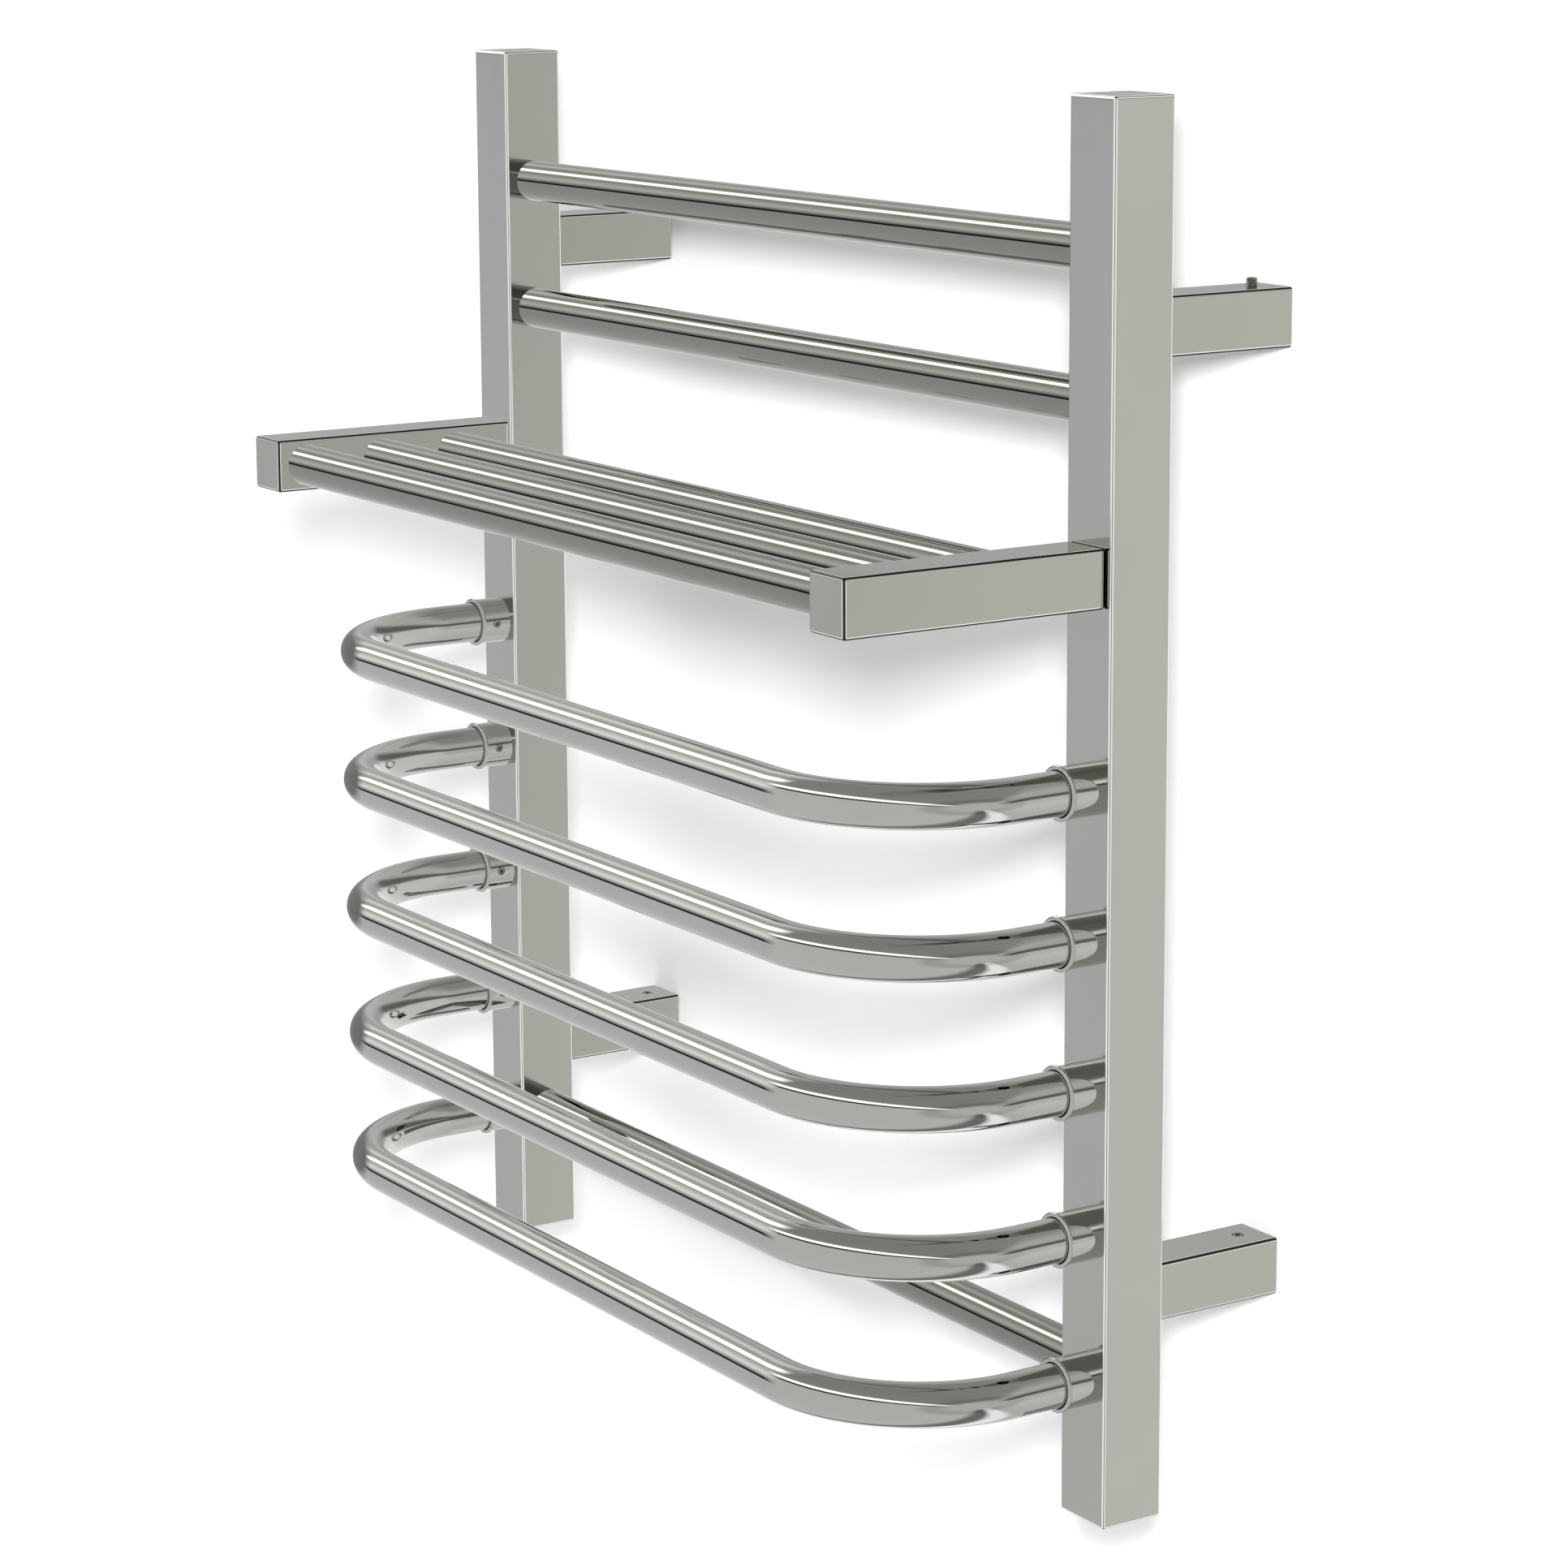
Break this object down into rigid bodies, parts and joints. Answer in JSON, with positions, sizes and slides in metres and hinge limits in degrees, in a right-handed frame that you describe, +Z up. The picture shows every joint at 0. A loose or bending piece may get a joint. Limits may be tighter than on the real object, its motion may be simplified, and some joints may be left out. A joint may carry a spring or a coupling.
{
  "type": "electric towel warmer",
  "caption": "Wall-mounted electric towel warmer in polished steel: square posts, straight bars, a slatted shelf and bowed rails below.",
  "frame": {"origin": "on the wall plane, at the middle of the four wall fixings", "axes": "+X to the right of someone facing the front, +Y into the wall, +Z up; the posts, bars and shelf lie on the -Y side"},
  "size_m": [0.682, 0.292, 0.785],
  "materials": {
    "polished_steel": "mirror-polished stainless steel",
    "screw_steel": "plain steel screws, slightly dull",
    "cast_aluminium": "as cast",
    "silicone_sheath": "matt silicone",
    "black_rubber": "matt rubber",
    "cream_plastic": "moulded",
    "cutout_metal": "pressed can"
  },
  "bodies": {
    "wall_mounts": {"upper_left_wall_plug": "cast_aluminium", "upper_right_wall_plug": "cast_aluminium", "lower_left_wall_plug": "cast_aluminium", "lower_right_wall_plug": "cast_aluminium"},
    "rack": {"left_post": "polished_steel", "right_post": "polished_steel", "top_bar": "polished_steel", "second_bar": "polished_steel", "lower_bar": "polished_steel", "left_shelf_arm": "polished_steel", "right_shelf_arm": "polished_steel", "front_shelf_bar": "polished_steel", "middle_shelf_bar": "polished_steel", "rear_shelf_bar": "polished_steel", "curved_rail_1": "polished_steel", "left_sleeve_1": "polished_steel", "right_sleeve_1": "polished_steel", "curved_rail_2": "polished_steel", "left_sleeve_2": "polished_steel", "right_sleeve_2": "polished_steel", "curved_rail_3": "polished_steel", "left_sleeve_3": "polished_steel", "right_sleeve_3": "polished_steel", "curved_rail_4": "polished_steel", "left_sleeve_4": "polished_steel", "right_sleeve_4": "polished_steel", "curved_rail_5": "polished_steel", "left_sleeve_5": "polished_steel", "right_sleeve_5": "polished_steel", "upper_left_bracket": "polished_steel", "upper_right_bracket": "polished_steel", "lower_left_bracket": "polished_steel", "lower_right_bracket": "polished_steel", "left_grub_screw_1": "screw_steel", "right_grub_screw_1": "screw_steel", "left_grub_screw_2": "screw_steel", "right_grub_screw_2": "screw_steel", "left_grub_screw_3": "screw_steel", "right_grub_screw_3": "screw_steel", "left_grub_screw_4": "screw_steel", "right_grub_screw_4": "screw_steel", "left_grub_screw_5": "screw_steel", "right_grub_screw_5": "screw_steel", "top_bar_element": "silicone_sheath", "second_bar_element": "silicone_sheath", "front_shelf_element": "silicone_sheath", "middle_shelf_element": "silicone_sheath", "rear_shelf_element": "silicone_sheath", "curved_rail_element_1": "silicone_sheath", "curved_rail_element_2": "silicone_sheath", "curved_rail_element_3": "silicone_sheath", "curved_rail_element_4": "silicone_sheath", "curved_rail_element_5": "silicone_sheath", "supply_grommet": "black_rubber", "terminal_block": "cream_plastic", "thermal_cutout": "cutout_metal"},
    "upper_left_set_screw": {"upper_left_set_screw": "screw_steel"},
    "upper_right_set_screw": {"upper_right_set_screw": "screw_steel"},
    "lower_left_set_screw": {"lower_left_set_screw": "screw_steel"},
    "lower_right_set_screw": {"lower_right_set_screw": "screw_steel"}
  },
  "joints": [
    {"name": "rack_mounting_slide", "type": "slide", "parent": "wall_mounts", "child": "rack", "axis": [0, -1, 0], "range_m": [0, 0.03]},
    {"name": "upper_left_set_screw_travel", "type": "slide", "parent": "rack", "child": "upper_left_set_screw", "axis": [0, 0, 1], "range_m": [0, 0.006]},
    {"name": "upper_right_set_screw_travel", "type": "slide", "parent": "rack", "child": "upper_right_set_screw", "axis": [0, 0, 1], "range_m": [-0.0045, 0.0015]},
    {"name": "lower_left_set_screw_travel", "type": "slide", "parent": "rack", "child": "lower_left_set_screw", "axis": [0, 0, 1], "range_m": [0, 0.006]},
    {"name": "lower_right_set_screw_travel", "type": "slide", "parent": "rack", "child": "lower_right_set_screw", "axis": [0, 0, 1], "range_m": [0, 0.006]}
  ]
}
